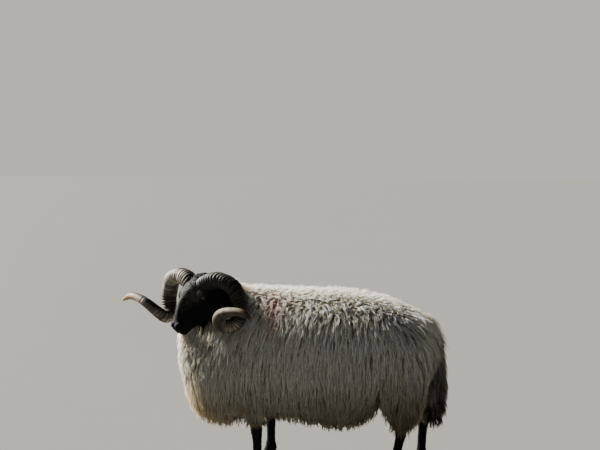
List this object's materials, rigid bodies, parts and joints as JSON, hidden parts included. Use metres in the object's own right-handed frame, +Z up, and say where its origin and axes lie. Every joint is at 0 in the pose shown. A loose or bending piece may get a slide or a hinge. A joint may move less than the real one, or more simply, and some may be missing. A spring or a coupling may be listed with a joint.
{
  "type": "sheep",
  "caption": "Black-faced hill ram standing with its head turned to its left: long white fleece, open spiral ridged horns, black face and legs, cloven hooves, hanging woolly tail",
  "frame": {"origin": "on the floor, under the middle of the whole model's box", "axes": "nose end towards -X, the animal's left side towards -Y, +Z up; the soles stand at Z = 0"},
  "size_m": [1.2966, 0.6604, 0.8323],
  "materials": {
    "fleece": "long, dry, off-white wool",
    "black_hair": "short black hair with a slight sheen",
    "horn": "ridged grey-brown horn",
    "hoof": "dark, dull horn",
    "eye": "wet and glossy"
  },
  "bodies": {
    "root": {"ear_left": "black_hair", "ear_right": "black_hair", "eye_left": "eye", "eye_right": "eye", "forehoof_left_inner": "hoof", "forehoof_left_outer": "hoof", "forehoof_right_inner": "hoof", "forehoof_right_outer": "hoof", "foreleg_left_lower": "black_hair", "foreleg_left_upper": "fleece", "foreleg_right_lower": "black_hair", "foreleg_right_upper": "fleece", "head": "black_hair", "hindhoof_left_inner": "hoof", "hindhoof_left_outer": "hoof", "hindhoof_right_inner": "hoof", "hindhoof_right_outer": "hoof", "hindleg_left_lower": "black_hair", "hindleg_left_upper": "fleece", "hindleg_right_lower": "black_hair", "hindleg_right_upper": "fleece", "horn_left": "horn", "horn_right": "horn", "neck": "fleece", "tail": "fleece", "trunk": "fleece"}
  },
  "joints": []
}
